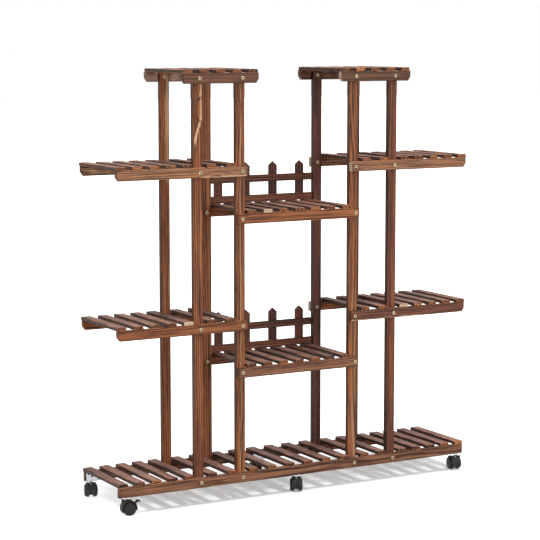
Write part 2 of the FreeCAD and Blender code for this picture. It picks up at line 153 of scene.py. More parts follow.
def shade_smooth(piece: bpy.types.Object, sharp_degrees: float = 32.0) -> None:
    """Shades a piece smoothly but for the edges that turn by more than an angle."""
    piece.data.shade_smooth()
    piece.data.set_sharp_from_angle(angle=math.radians(sharp_degrees))


@dataclass(frozen=True)
class Block:
    """The box round one separate solid of a node."""

    low: Vector
    high: Vector

    @property
    def centre(self) -> Vector:
        """The middle of the box."""
        return (self.low + self.high) / 2

    @property
    def size(self) -> Vector:
        """The box's lengths along X, Y and Z."""
        return self.high - self.low


def blocks_of(node: bpy.types.Object, axis: int = 0) -> list[Block]:
    """Finds the separate solids of a node.

    Args:
        node: The node's object, whose mesh is only read.
        axis: The axis along which the solids are put in order.

    Returns:
        A box for each solid.
    """
    copy = bmesh.new()
    copy.from_mesh(node.data)
    bmesh.ops.remove_doubles(copy, verts=copy.verts, dist=WELD_DISTANCE)
    copy.verts.ensure_lookup_table()
    unseen = set(range(len(copy.verts)))
    blocks = []
    while unseen:
        front = [unseen.pop()]
        found = []
        while front:
            index = front.pop()
            found.append(copy.verts[index].co.copy())
            for edge in copy.verts[index].link_edges:
                other = edge.other_vert(copy.verts[index]).index
                if other in unseen:
                    unseen.remove(other)
                    front.append(other)
        places = np.array(found)
        blocks.append(Block(Vector(places.min(axis=0)), Vector(places.max(axis=0))))
    copy.free()
    return sorted(blocks, key=lambda block: block.centre[axis])


# Node graphs


@dataclass(frozen=True)
class Value:
    """What a node gives. Plain arithmetic on it adds further nodes."""

    graph: "Graph"
    socket: bpy.types.NodeSocket

    def __add__(self, other: Any) -> "Value":
        """Returns the sum."""
        return self.graph.math("ADD", self, other)

    def __radd__(self, other: float) -> "Value":
        """Returns the sum with a number that comes first."""
        return self.graph.math("ADD", other, self)

    def __sub__(self, other: Any) -> "Value":
        """Returns the difference."""
        return self.graph.math("SUBTRACT", self, other)

    def __rsub__(self, other: float) -> "Value":
        """Returns a number less this value."""
        return self.graph.math("SUBTRACT", other, self)

    def __mul__(self, other: Any) -> "Value":
        """Returns the product."""
        return self.graph.math("MULTIPLY", self, other)

    def __truediv__(self, other: Any) -> "Value":
        """Returns the quotient."""
        return self.graph.math("DIVIDE", self, other)

    def __abs__(self) -> "Value":
        """Returns the value without its sign."""
        return self.graph.math("ABSOLUTE", self)


class Graph:
    """A node tree with short calls for the nodes that this script uses."""

    def __init__(self, tree: bpy.types.NodeTree) -> None:
        """Keeps the tree and empties it."""
        self.tree = tree
        tree.nodes.clear()

    def node(self, kind: str, feeds: Feeds | None = None, **settings: Any) -> bpy.types.Node:
        """Adds a node.

        Args:
            kind: The node's type name.
            feeds: What goes into its inputs, by their names or numbers.
            **settings: Properties to set on it.

        Returns:
            The new node.
        """
        made = self.tree.nodes.new(kind)
        for name, value in settings.items():
            setattr(made, name, value)
        for key, value in (feeds or {}).items():
            self.feed(made.inputs[key], value)
        return made

    def feed(self, socket: bpy.types.NodeSocket, value: Any) -> None:
        """Links a value to an input, or sets the input's own one.

        Args:
            socket: The input.
            value: A value, a socket, a number, a vector or a colour.
        """
        source = value.socket if isinstance(value, Value) else value
        if isinstance(source, bpy.types.NodeSocket):
            self.tree.links.new(source, socket)
        else:
            socket.default_value = source

    def out(self, kind: str, feeds: Feeds, key: int | str = 0, **settings: Any) -> Value:
        """Adds a node and returns the output that the key names."""
        return Value(self, self.node(kind, feeds, **settings).outputs[key])

    def parts(self, kind: str, feeds: Feeds, **settings: Any) -> list[Value]:
        """Adds a node and returns all its outputs."""
        return [Value(self, part) for part in self.node(kind, feeds, **settings).outputs]

    def math(self, operation: str, first: Any, second: Any = 0.0, clamp: bool = False) -> Value:
        """Returns what a Math node makes of one or two values."""
        return self.out("ShaderNodeMath", {0: first, 1: second}, operation=operation, use_clamp=clamp)

    def vector(self, operation: str, first: Any, second: Any = (0.0, 0.0, 0.0), key: str = "Vector") -> Value:
        """Returns what a Vector Math node makes of one or two vectors, by default as a vector."""
        return self.out("ShaderNodeVectorMath", {0: first, 1: second}, key, operation=operation)

    def noise(self, place: Any, stretch: Triple, detail: float = 2.0, roughness: float = 0.5) -> Value:
        """Adds a noise that is stretched along the axes.

        Args:
            place: The position.
            stretch: How many features one unit of length holds along X, Y and Z.
            detail: The number of finer layers.
            roughness: The weight of the finer layers.

        Returns:
            The noise, about 0.5 on average.
        """
        feeds = {"Vector": self.vector("MULTIPLY", place, stretch), "Scale": 1.0, "Detail": detail,
                 "Roughness": roughness}
        return self.out("ShaderNodeTexNoise", feeds, "Fac")

    def ramp(self, value: Any, start: Any, end: Any, low: Any = 0.0, high: Any = 1.0) -> Value:
        """Returns a value mapped smoothly from the span start to end onto low to high, and held outside."""
        feeds = dict(enumerate((value, start, end, low, high)))
        return self.out("ShaderNodeMapRange", feeds, interpolation_type="SMOOTHSTEP")

    def mix(self, share: Any, first: Any, second: Any, blend: str = "MIX") -> Value:
        """Returns two colours mixed, with a share of the second."""
        feeds = {"Factor": share, 6: first, 7: second}
        return self.out("ShaderNodeMix", feeds, 2, data_type="RGBA", blend_type=blend)

    def split(self, vector: Any) -> list[Value]:
        """Returns a vector's three parts."""
        return self.parts("ShaderNodeSeparateXYZ", {0: vector})

    def join(self, x: Any, y: Any, z: Any) -> Value:
        """Returns a vector of three parts."""
        return self.out("ShaderNodeCombineXYZ", {0: x, 1: y, 2: z})

    def use(self, group: bpy.types.NodeTree, **values: Any) -> list[Value]:
        """Places a shader group, its inputs named with underscores for spaces, and returns its outputs."""
        feeds = {name.replace("_", " "): value for name, value in values.items()}
        return self.parts("ShaderNodeGroup", feeds, node_tree=group)

    def shown(self) -> Value:
        """Tells rays that show a surface from rays that only carry its light.

        Returns:
            1 for the camera's rays, for reflections and for clear glass, and 0 for all others.
        """
        path = self.node("ShaderNodeLightPath").outputs
        seen = self.math("MAXIMUM", path["Is Camera Ray"], path["Is Glossy Ray"])
        return self.math("MAXIMUM", seen, path["Is Transmission Ray"])


class MaterialGraph(Graph):
    """A new material and its graph."""

    def __init__(self, name: str) -> None:
        """Starts the material.

        Args:
            name: Its name.
        """
        self.material = bpy.data.materials.new(name)
        self.material.use_nodes = True
        super().__init__(self.material.node_tree)
        self.where = self.node("ShaderNodeTexCoord").outputs

    def surface(self, colour: Value, roughness: Value, height: Value, strength: float, depth: float,
                fixed: dict[str, float]) -> None:
        """Ends the material in its shader.

        Args:
            colour: The base colour.
            roughness: The roughness.
            height: The height of the fine relief.
            strength: How strongly the relief shows.
            depth: The relief's depth in metres.
            fixed: Other inputs of the shader, by their names.
        """
        bump = self.out("ShaderNodeBump", {"Strength": strength, "Distance": depth, "Height": height})
        feeds = {"Base Color": colour, "Roughness": roughness, "Normal": bump, **fixed}
        self.node("ShaderNodeOutputMaterial", {0: self.out("ShaderNodeBsdfPrincipled", feeds)})


Sockets = dict[str, tuple[str, ...]]


class Group(Graph):
    """A node group with named inputs and outputs."""

    def __init__(self, name: str, inputs: Sockets, outputs: Sockets, kind: str = "ShaderNodeTree") -> None:
        """Starts the group.

        Args:
            name: The group's name.
            inputs: The names of its inputs under each type of socket.
            outputs: The names of its outputs in the same way.
            kind: The type of its tree.
        """
        super().__init__(bpy.data.node_groups.new(name, kind))
        for way, sockets in (("INPUT", inputs), ("OUTPUT", outputs)):
            for socket, labels in sockets.items():
                for label in labels:
                    self.tree.interface.new_socket(name=label, in_out=way, socket_type="NodeSocket" + socket)
        source = self.node("NodeGroupInput").outputs
        self.given = {label: Value(self, source[label]) for label in sum(inputs.values(), ())}
        self.sink = self.node("NodeGroupOutput")

    def put(self, **results: Value) -> None:
        """Feeds the group's outputs by their names."""
        for name, value in results.items():
            self.feed(self.sink.inputs[name], value)


# The figure of the wood, as features to a metre across, through and along a board

FIBRES = (900.0, 900.0, 26.0)
STREAKS = (230.0, 230.0, 5.0)
PATCHES = (9.0, 9.0, 3.4)
SAP_RUNS = (34.0, 34.0, 2.1)
SLOW_SWAY = (14.0, 14.0, 2.2)
QUICK_SWAY = (60.0, 60.0, 9.0)
BAND_WANDER = (8.0, 8.0, 11.0)
BAND_BREAKS = (6.0, 6.0, 5.0)
RUBBED_AND_HIGHLIT_RUNS = (70.0, 70.0, 16.0)

# The log that a board is cut from, in metres and radians

PITH_DISTANCE = 0.06
PITH_TURN_PER_SEED = 2.4
LEAN_PER_SEED = 5.3
MOST_LEAN = 0.02
KNOT_REACH = 0.03
KNOT_STRETCH = (1.0, 1.0, 0.36)
SEED_SHIFTS = (3.1, 7.7, 13.3)

# Margins at a board's edges and at a band's ends, from where they are nothing to where they are full

CHARRED_MARGIN = (0.0042, 0.0012)
# The margin at the edges below is also where painted edge highlights go.
RUBBED_AND_HIGHLIT_MARGIN = (0.0016, 0.0006)
BAND_END_MARGIN = (-0.02, 0.01)

CREAM = (1.0, 0.76, 0.52, 1.0)
CHAR = (0.016, 0.007, 0.004, 1.0)

FIGURE_INPUTS: Sockets = {
    "Vector": ("Position", "Knot"),
    "Float": ("Seed", "Ring Gap", "Sway", "Knot Push", "Band Place", "Band Swing", "Band Width", "Band Start",
              "Band End", "Band Amount"),
}
TIMBER_INPUTS: Sockets = {
    "Vector": FIGURE_INPUTS["Vector"] + ("Half Size", "Normal"),
    "Color": ("Early", "Late", "Glow", "Sapwood"),
    "Float": FIGURE_INPUTS["Float"] + ("Tone", "Glow Amount", "Sap Amount", "Scorch", "Ring Depth",
                                       "End Glow", "Edge Wear", "Side Char"),
}


def ring_radius(group: Group, moved: Value) -> Value:
    """Measures how far out a place lies in the log, as a count of growth rings.

    Args:
        group: The figure's group.
        moved: The position, moved by the seed.

    Returns:
        The ring count, with its fraction.
    """
    given = group.given
    across, depth, along = group.split(given["Position"])
    drift = (group.noise(moved, SLOW_SWAY) - 0.5) * given["Sway"]
    lean = group.math("SINE", given["Seed"] * LEAN_PER_SEED) * MOST_LEAN
    turn = given["Seed"] * PITH_TURN_PER_SEED
    from_knot = group.vector("SUBTRACT", given["Position"], given["Knot"])
    nearness = group.vector("LENGTH", group.vector("MULTIPLY", from_knot, KNOT_STRETCH), key="Value")
    bulge = group.ramp(nearness, KNOT_REACH, 0.0) * given["Knot Push"]
    ring_x = across + along * lean + drift + group.math("COSINE", turn) * PITH_DISTANCE + bulge
    ring_y = depth - drift + group.math("SINE", turn) * PITH_DISTANCE + bulge
    even = group.math("SQRT", ring_x * ring_x + ring_y * ring_y) / given["Ring Gap"]
    uneven = group.noise(group.join(even * 0.45, given["Seed"], 0.0), (1.0, 1.0, 1.0), 1.0)
    return even + uneven * 1.6 + (group.noise(moved, QUICK_SWAY) - 0.5) * 0.6


def sapwood_band(group: Group, moved: Value) -> Value:
    """Marks a pale band that wanders along a board and swings aside where it starts.

    Args:
        group: The figure's group.
        moved: The position, moved by the seed.

    Returns:
        How strongly the band shows.
    """
    given = group.given
    across, _, along = group.split(given["Position"])
    wander = (group.noise(moved, BAND_WANDER) - 0.5) * 0.014
    begun = along - given["Band Start"]
    swung = group.ramp(begun, 0.0, 0.09, 0.0, given["Band Swing"])
    offset = across + wander - given["Band Place"] - swung
    near = group.ramp(abs(offset) / given["Band Width"], 0.6, 0.25)
    broken = group.ramp(group.noise(moved, BAND_BREAKS, 1.0), 0.36, 0.56, 0.3, 1.0)
    ends = group.ramp(begun, *BAND_END_MARGIN) * group.ramp(given["Band End"] - along, *BAND_END_MARGIN)
    return near * (broken * given["Band Amount"]) * ends


def figure_group() -> bpy.types.NodeTree:
    """Builds the figure of the wood: growth rings round a far pith, fibres, streaks and patches.

    Returns:
        The group, whose position has the grain along Z.
    """
    group = Group("timber_figure", FIGURE_INPUTS,
                  {"Float": ("Ring", "Fibre", "Streak", "Patch", "Sap", "Band")})
    seed = group.given["Seed"]
    away = group.join(*[seed * shift for shift in SEED_SHIFTS])
    moved = group.vector("ADD", group.given["Position"], away)
    radius = ring_radius(group, moved)
    year = group.math("FRACT", radius)
    whole = group.join(group.math("FLOOR", radius), seed, 0.0)
    draw = group.out("ShaderNodeTexWhiteNoise", {"Vector": whole}, "Value", noise_dimensions="2D")
    rise, fall = group.ramp(year, 0.3, 0.84), group.ramp(year, 0.9, 1.0, 1.0, 0.0)
    group.put(Ring=rise * fall * group.ramp(draw, 0.0, 1.0, 0.45, 1.0), Band=sapwood_band(group, moved),
              Fibre=group.noise(moved, FIBRES, 3.0, 0.6), Streak=group.noise(moved, STREAKS, 3.0, 0.55),
              Patch=group.noise(moved, PATCHES, 3.0, 0.55), Sap=group.noise(moved, SAP_RUNS, 1.0, 0.4))
    return group.tree


def end_grain(group: Group, marks: list[Value], cream: Value) -> Value:
    """Colours the sawn ends, from dark with pale stripes to nearly plain cream.

    Args:
        group: The timber's group.
        marks: What the figure gives.
        cream: How far the end is left cream.

    Returns:
        The colour.
    """
    given = group.given
    ring, fibre, streak = marks[:3]
    stripes = group.ramp(ring + fibre * 0.5, 0.22, 0.62)
    pale = group.mix(cream, group.mix(given["End Glow"], given["Late"], given["Glow"]), CREAM)
    dark = group.mix(0.55, given["Late"], CHAR)
    plainness = group.math("FRACT", given["Seed"] * 3.7)
    contrast = group.ramp(plainness, 0.1, 0.9, 0.3, 0.95) * group.ramp(cream, 0.0, 1.0, 1.0, 0.3)
    specks = group.ramp(streak, 0.49, 0.6) * group.ramp(cream, 0.0, 1.0, 0.75, 0.3)
    return group.mix(group.math("MAXIMUM", stripes * contrast, specks), pale, dark)


def timber_group(figure: bpy.types.NodeTree) -> bpy.types.NodeTree:
    """Builds scorched timber from its figure, with end grain, scorched margins, side faces darkened by char
    and painted shade, and edges pale from rubbing that also carry painted highlights.

    Args:
        figure: The group of the wood's figure.

    Returns:
        The group.
    """
    group = Group("scorched_timber", TIMBER_INPUTS, {"Color": ("Colour",), "Float": ("Roughness", "Height")})
    given = group.given
    marks = group.use(figure, **{label: given[label] for label in sum(FIGURE_INPUTS.values(), ())})
    ring, fibre, streak, patch, sap, band = marks
    dark = ring * given["Ring Depth"] + group.ramp(streak, 0.51, 0.61, 0.0, 0.5)
    dark = group.math("ADD", dark, group.ramp(fibre, 0.48, 0.72, 0.0, 0.46), clamp=True)
    colour = group.mix(dark, given["Early"], given["Late"])
    glow = group.ramp(streak, 0.48, 0.36) * given["Glow Amount"] * group.ramp(ring, 0.7, 0.1)
    colour = group.mix(glow, colour, given["Glow"])
    threshold = 0.86 - given["Sap Amount"] * 0.42
    pale = group.math("MAXIMUM", group.ramp(sap, threshold, threshold + 0.05), band)
    colour = group.mix(pale * group.ramp(ring, 0.9, 0.2, 0.4, 0.95), colour, given["Sapwood"])
    facing = [abs(part) for part in group.split(given["Normal"])]
    end = group.ramp(facing[2], 0.5, 0.66)
    cream = group.ramp(given["End Glow"], 0.9, 1.0)
    colour = group.mix(end, colour, end_grain(group, marks, cream))
    inset = group.vector("SUBTRACT", given["Half Size"], group.vector("ABSOLUTE", given["Position"]))
    side_x, side_y, side_z = group.split(inset)
    lesser = group.math("MINIMUM", side_x, side_y)
    greater = group.math("MAXIMUM", side_x, side_y)
    to_edge = group.math("MAXIMUM", lesser, group.math("MINIMUM", greater, side_z))
    margin = group.ramp(to_edge, *CHARRED_MARGIN) * group.ramp(sap, 0.62, 0.4, 0.22, 0.56)
    burnt = group.ramp(patch, 0.48, 0.72) * given["Scorch"]
    tone = given["Tone"] - burnt - margin * (1.0 - end * cream)
    # The side faces across the board's X axis are darkened further, partly for their heavier char and partly
    # as painted shade between neighbouring boards.
    tone = tone * (1.0 - group.ramp(facing[0], 0.75, 0.9) * given["Side Char"])
    colour = group.mix(1.0, colour, group.join(tone, tone, tone), "MULTIPLY")
    # Pale arrises in the Glow colour: wear from rubbing, which also stands in as painted highlights along the
    # edges.
    spread = group.vector("ADD", given["Position"], group.join(given["Seed"], 0.0, given["Seed"]))
    worn_and_highlit_runs = group.ramp(group.noise(spread, RUBBED_AND_HIGHLIT_RUNS), 0.45, 0.62)
    rubbed_and_highlit = group.ramp(to_edge, *RUBBED_AND_HIGHLIT_MARGIN) * worn_and_highlit_runs * given["Edge Wear"]
    group.put(Colour=group.mix(rubbed_and_highlit, colour, given["Glow"]),
              Roughness=0.5 + fibre * 0.16 - dark * 0.05, Height=ring * 0.6 + fibre * 0.5)
    return group.tree


def wear_group() -> bpy.types.NodeTree:
    """Builds fine grain, dust and scratches for moulded and plated pieces.

    Returns:
        The group.
    """
    group = Group("surface_wear", {"Vector": ("Position",), "Float": ("Fineness",)},
                  {"Float": ("Grain", "Dust", "Scratch")})
    fineness = group.given["Fineness"]
    place = group.vector("MULTIPLY", group.given["Position"], group.join(fineness, fineness, fineness))
    group.put(Grain=group.noise(place, (1.0, 1.0, 1.0), 2.0, 0.6),
              Dust=group.ramp(group.noise(place, (0.04, 0.04, 0.03), 4.0, 0.6), 0.45, 0.7),
              Scratch=group.ramp(group.noise(place, (0.02, 0.9, 0.3)), 0.58, 0.66))
    return group.tree


# Timber


class Grain(Enum):
    """The way the grain runs, as the turn that brings it upright."""

    ALONG_X = (0.0, -math.pi / 2, 0.0)
    ALONG_Y = (math.pi / 2, 0.0, 0.0)
    ALONG_Z = (0.0, 0.0, 0.0)


@dataclass(frozen=True)
class TimberFinish:
    """How far a batch of timber was scorched and how it is coloured."""

    early: Colour
    late: Colour
    glow: Colour = paint(214, 138, 82)
    sapwood: Colour = paint(250, 204, 158)
    glow_amount: float = 0.6
    sap_amount: float = 0.1
    scorch: float = 0.3
    ring_gap: float = 0.0072
    ring_depth: float = 0.85
    sway: float = 0.02
    end_glow: float = 0.6
    edge_wear: float = 0.7
    # Darkens the side faces: heavier char plus painted shade.
    side_char: float = 0.0


class Burn(Enum):
    """The batches of timber in the stand."""

    BROWN = TimberFinish(paint(180, 110, 72), paint(58, 32, 22), ring_depth=0.9, ring_gap=0.006)
    PALE = TimberFinish(paint(188, 136, 104), paint(74, 45, 33), sapwood=paint(250, 208, 164),
                        glow_amount=0.8, sap_amount=0.5, scorch=0.15, ring_gap=0.0048, ring_depth=1.0)
    DARK = TimberFinish(paint(134, 79, 55), paint(54, 31, 25), glow=paint(166, 98, 62), sap_amount=0.0)
    PURPLE = TimberFinish(paint(112, 69, 56), paint(54, 32, 29), glow=paint(150, 92, 62), sap_amount=0.0,
                          glow_amount=0.3)
    GREY = TimberFinish(paint(134, 92, 70), paint(70, 45, 34), glow=paint(168, 118, 86), sap_amount=0.05,
                        glow_amount=0.4)
    # Painted light: a paler, greyer timber that stands in for light and sheen on a rail that lies in the
    # slats' shade.
    FADED = TimberFinish(paint(178, 146, 128), paint(112, 86, 74), glow=paint(204, 172, 148), sap_amount=0.0,
                         glow_amount=0.4, ring_depth=0.6, scorch=0.35)
    RUSSET = TimberFinish(paint(132, 82, 60), paint(58, 34, 27), glow=paint(170, 108, 74), sap_amount=0.0,
                          glow_amount=0.4)
    UMBER = TimberFinish(paint(170, 116, 88), paint(62, 37, 28), glow=paint(206, 144, 98), glow_amount=0.5)
    # The slats' pinkish grey early colour is partly their wood and partly painted sheen from overhead light on
    # their tops.
    SLAT = TimberFinish(paint(156, 112, 96), paint(64, 38, 33), glow=paint(246, 158, 98), sap_amount=0.02,
                        glow_amount=0.2, ring_depth=0.6, scorch=0.3, side_char=0.68)


@dataclass(frozen=True)
class Band:
    """A pale band of sapwood along a board, in metres from the board's middle."""

    place: float
    width: float
    start: float
    end: float
    swing: float = 0.0
    amount: float = 1.0


@dataclass(frozen=True)
class Knot:
    """A place that the growth rings bend round, in metres from the board's middle."""

    across: float
    along: float
    push: float


NO_BAND = Band(1.0, 0.001, 1.0, 1.0)
NO_KNOT = Knot(1.0, 1.0, 0.0)


@dataclass
class Batch:
    """One board, or a row of boards, with its finish and the way its grain runs."""

    node: str
    seed: float
    burn: Burn = Burn.BROWN
    grain: Grain = Grain.ALONG_X
    tone: float = 1.0
    split_axis: int | None = None
    tones: tuple[float, ...] = ()
    pale_ends: tuple[int, ...] = ()
    end_glow: float = 0.18
    band: Band = NO_BAND
    knot: Knot = NO_KNOT
    changes: dict[str, float] = field(default_factory=dict)

    def values(self) -> dict[str, Any]:
        """Gathers what the timber group takes, and the middle of the boards.

        Returns:
            The values by the names of the group's inputs, with underscores for spaces.
        """
        low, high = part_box(self.node)
        made = {name.title(): value for name, value in vars(self.burn.value).items()}
        made.update({"Band_" + name.title(): value for name, value in vars(self.band).items()})
        made.update(Knot=(self.knot.across, 0.0, self.knot.along), Knot_Push=self.knot.push,
                    Seed=self.seed, Tone=self.tone, middle=(low + high) / 2)
        return made


# What the boards have in common, by the start of their names, and below it what single ones have

KINDS: dict[str, dict[str, Any]] = {
    "rail_base": {"burn": Burn.UMBER},
    "rail_side_lower": {"burn": Burn.BROWN},
    "rail_side_upper": {"burn": Burn.PALE},
    "rail_centre": {"burn": Burn.BROWN},
    "rail_top": {"burn": Burn.GREY},
    "post": {"grain": Grain.ALONG_Z, "changes": {"Side_Char": 0.62}},
    "post_left": {"burn": Burn.BROWN},
    "post_right": {"burn": Burn.DARK},
    "post_right_inner_front": {"burn": Burn.BROWN},
    "fence_rails": {"burn": Burn.RUSSET, "split_axis": 2, "tones": (1.22, 0.82)},
    "fence_pickets": {"burn": Burn.PURPLE, "grain": Grain.ALONG_Z, "split_axis": 0},
    "slats": {"burn": Burn.SLAT, "grain": Grain.ALONG_Y, "split_axis": 0},
}

CHARACTER: dict[str, dict[str, Any]] = {
    "post_left_outer_back": {"band": Band(0.0095, 0.018, 0.28, 0.62, 0.0, 0.85), "tone": 1.04,
                             "changes": {"Sap_Amount": 0.5}},
    "post_left_inner_back": {"seed": 5.1, "tone": 0.86, "changes": {"Scorch": 0.08}},
    "post_left_inner_front": {"tone": 0.87, "band": Band(0.001, 0.0028, -0.6, 0.6, 0.0, 0.7)},
    "rail_side_upper_left_front": {"seed": 9.163, "tone": 1.1,
                                   "band": Band(0.0125, 0.005, 0.07, 0.2, 0.0, 1.5),
                                   "knot": Knot(0.002, 0.11, 0.02), "changes": {"Ring_Gap": 0.0056}},
    "rail_side_upper_left_back": {"band": Band(-0.006, 0.012, -0.22, -0.12, 0.012, 1.6)},
    "rail_side_upper_right_front": {"seed": 6.545, "changes": {"End_Glow": 1.0, "Ring_Gap": 0.0056}},
    "rail_side_upper_right_back": {"changes": {"End_Glow": 1.0}},
    "rail_side_lower_right_back": {"changes": {"End_Glow": 1.0}},
    "rail_centre_upper_front": {"seed": 8.3, "tone": 0.92},
    "rail_centre_lower_front": {"burn": Burn.UMBER, "tone": 0.97},
    "rail_base_front": {"tone": 0.97},
    "post_right_inner_front": {"tone": 0.94, "band": Band(0.004, 0.013, -0.6, -0.05, 0.0, 0.28),
                               "changes": {"Ring_Gap": 0.0052}},
    "post_right_inner_back": {"burn": Burn.PURPLE, "tone": 1.02},
    "post_right_outer_front": {"tone": 1.18},
    "post_left_outer_front": {"tone": 1.1, "band": Band(-0.007, 0.0085, 0.41, 0.59, 0.0195, 1.3),
                              "knot": Knot(-0.004, 0.5, 0.016)},
    "rail_side_lower_right_front": {"burn": Burn.RUSSET, "seed": 11.78, "tone": 1.15,
                                    "band": Band(0.0135, 0.007, -0.25, 0.03, 0.0, 1.1)},
    "rail_side_lower_left_front": {"seed": 14.4, "tone": 1.05},
    # Painted light and sheen on the top back-left rail: the paler, greyer timber and the raised tone.
    "rail_top_left_back": {"burn": Burn.FADED, "tone": 1.45},
    "rail_top_right_front": {"tone": 0.9, "changes": {"End_Glow": 1.0}},
    "slats_centre_upper": {"pale_ends": (1,)},
    "slats_side_lower_left": {"pale_ends": (4,)},
    "slats_base": {"end_glow": 0.0},
    "slats_side_upper_left": {"end_glow": 0.2},
    "slats_side_lower_right": {"end_glow": 0.35},
    "slats_side_upper_right": {"end_glow": 0.2},
    "slats_top_left": {"end_glow": 0.2},
    "slats_top_right": {"end_glow": 0.2},
}


@dataclass
class TimberShop:
    """Dresses the boards of the stand."""

    nodes: dict[str, bpy.types.Object]
    seed_spread: float = 9.0
    tone_spread: float = 0.42
    end_glow_spread: float = 0.7
    specular: float = 0.2
    relief: float = 0.35
    relief_depth: float = 0.4 * MILLIMETRE

    def __post_init__(self) -> None:
        """Builds the timber groups."""
        self.timber = timber_group(figure_group())

    def row_values(self, graph: MaterialGraph, batch: Batch, middle: Vector, axis: int) -> dict[str, Any]:
        """Gives each board of a row its own middle, seed, tone and end grain.

        Args:
            graph: The material's graph.
            batch: The row.
            middle: The row's middle.
            axis: The axis along which the boards lie side by side.

        Returns:
            The values by name.
        """
        blocks = blocks_of(self.nodes[batch.node], axis)
        start, reach = blocks[0].low[axis], blocks[-1].high[axis] - blocks[0].low[axis]
        share_along = (graph.split(graph.where["Object"])[axis] - start) / reach
        ramp = graph.node("ShaderNodeValToRGB", {0: share_along})
        ramp.color_ramp.interpolation = "CONSTANT"
        stops = ramp.color_ramp.elements
        draw = random.Random(batch.node)
        for index, block in enumerate(blocks):
            before = blocks[index - 1].high[axis] if index else start
            share = ((before + block.low[axis]) / 2 - start) / reach
            stop = stops[index] if index < 2 else stops.new(share)
            stop.position = share
            if batch.tones:
                lightness = (batch.tones[index] - batch.tone) / self.tone_spread + 0.5
            else:
                lightness = draw.random()
            pale = index in batch.pale_ends
            end_glow = 1.0 if pale else batch.end_glow + self.end_glow_spread * draw.random()
            stop.color = (draw.random(), lightness, end_glow, (block.centre[axis] - start) / reach)
        parts = graph.parts("ShaderNodeSeparateColor", {0: ramp.outputs["Color"]})
        middles: list[Any] = list(middle)
        middles[axis] = Value(graph, ramp.outputs["Alpha"]) * reach + start
        tone = parts[1] * self.tone_spread + (batch.tone - self.tone_spread / 2)
        return {"middle": graph.join(*middles), "Seed": parts[0] * self.seed_spread + batch.seed,
                "Tone": tone, "End_Glow": parts[2]}

    def material(self, batch: Batch) -> bpy.types.Material:
        """Makes the timber of one node.

        Args:
            batch: The node's boards.

        Returns:
            The material.
        """
        graph = MaterialGraph("timber_" + batch.node)
        values = batch.values()
        if batch.split_axis is not None:
            values.update(self.row_values(graph, batch, values["middle"], batch.split_axis))
        values.update(batch.changes)
        turn = batch.grain.value
        centred = graph.vector("SUBTRACT", graph.where["Object"], values.pop("middle"))
        place = graph.out("ShaderNodeMapping", {"Vector": centred, "Rotation": turn}, vector_type="POINT")
        facing = graph.out("ShaderNodeMapping", {"Vector": graph.where["Normal"], "Rotation": turn},
                           vector_type="VECTOR")
        block = blocks_of(self.nodes[batch.node], batch.split_axis or 0)[0]
        upright = Matrix.Rotation(turn[0], 3, "X") @ Matrix.Rotation(turn[1], 3, "Y") @ (block.size / 2)
        colour, roughness, height = graph.use(self.timber, Position=place, Normal=facing,
                                              Half_Size=[abs(part) for part in upright], **values)
        graph.surface(colour, roughness, height, self.relief, self.relief_depth,
                      {"Specular IOR Level": self.specular})
        return graph.material

    def dress(self, batch: Batch) -> None:
        """Puts a batch's timber on its node."""
        set_material(self.nodes[batch.node], self.material(batch))


# Moulded and plated finishes


@dataclass(frozen=True)
class MouldedFinish:
    """A moulded plastic, a little dusty and scuffed."""

    name: str
    colour: Colour
    dusty: Colour
    roughness: float
    fineness: float
    relief: float
    relief_depth: float = 0.2 * MILLIMETRE
    dust_share: float = 0.35
    scuff_share: float = 0.12
    roughness_spread: float = 0.14
    specular: float = 0.3

    def make(self, wear: bpy.types.NodeTree) -> bpy.types.Material:
        """Makes the material.

        Args:
            wear: The group of surface wear.

        Returns:
            The material.
        """
        graph = MaterialGraph(self.name)
        grain, dust, scratch = graph.use(wear, Position=graph.where["Object"], Fineness=self.fineness)
        share = graph.math("ADD", dust * self.dust_share, scratch * self.scuff_share, clamp=True)
        rough = self.roughness + grain * self.roughness_spread
        graph.surface(graph.mix(share, self.colour, self.dusty), rough, grain, self.relief, self.relief_depth,
                      {"Specular IOR Level": self.specular})
        return graph.material


@dataclass(frozen=True)
class PlatedFinish:
    """Steel with a thin bright plating, with painted shade where an attribute marks a recess."""

    name: str
    colour: Colour
    stained: Colour
    roughness: float
    recess: bool = False
    metallic: float = 0.85
    recess_shade_colour: Colour = paint(34, 26, 18)
    fineness: float = 2600.0
    relief: float = 0.15
    relief_depth: float = 0.1 * MILLIMETRE
    stain_share: float = 0.6
    roughness_spread: float = 0.18

    def make(self, wear: bpy.types.NodeTree) -> bpy.types.Material:
        """Makes the material.

        Args:
            wear: The group of surface wear.

        Returns:
            The material.
        """
        graph = MaterialGraph(self.name)
        grain, dust, scratch = graph.use(wear, Position=graph.where["Object"], Fineness=self.fineness)
        colour = graph.mix(dust * self.stain_share, self.colour, self.stained)
        # Painted shade in the cross recess and round the head's rim.
        if self.recess:
            depth = graph.out("ShaderNodeAttribute", {}, "Fac", attribute_name="recess")
            colour = graph.mix(depth, colour, self.recess_shade_colour)
        graph.surface(colour, self.roughness + grain * self.roughness_spread, scratch, self.relief,
                      self.relief_depth, {"Metallic": self.metallic})
        return graph.material


YELLOW_ZINC = PlatedFinish("yellow_zinc", paint(214, 200, 162), paint(146, 126, 90), 0.24, True)
WHITE_ZINC = PlatedFinish("white_zinc", paint(216, 220, 227), paint(180, 186, 192), 0.26, metallic=1.0)
DULL_ZINC = PlatedFinish("dull_zinc", paint(132, 134, 138), paint(96, 98, 102), 0.4)
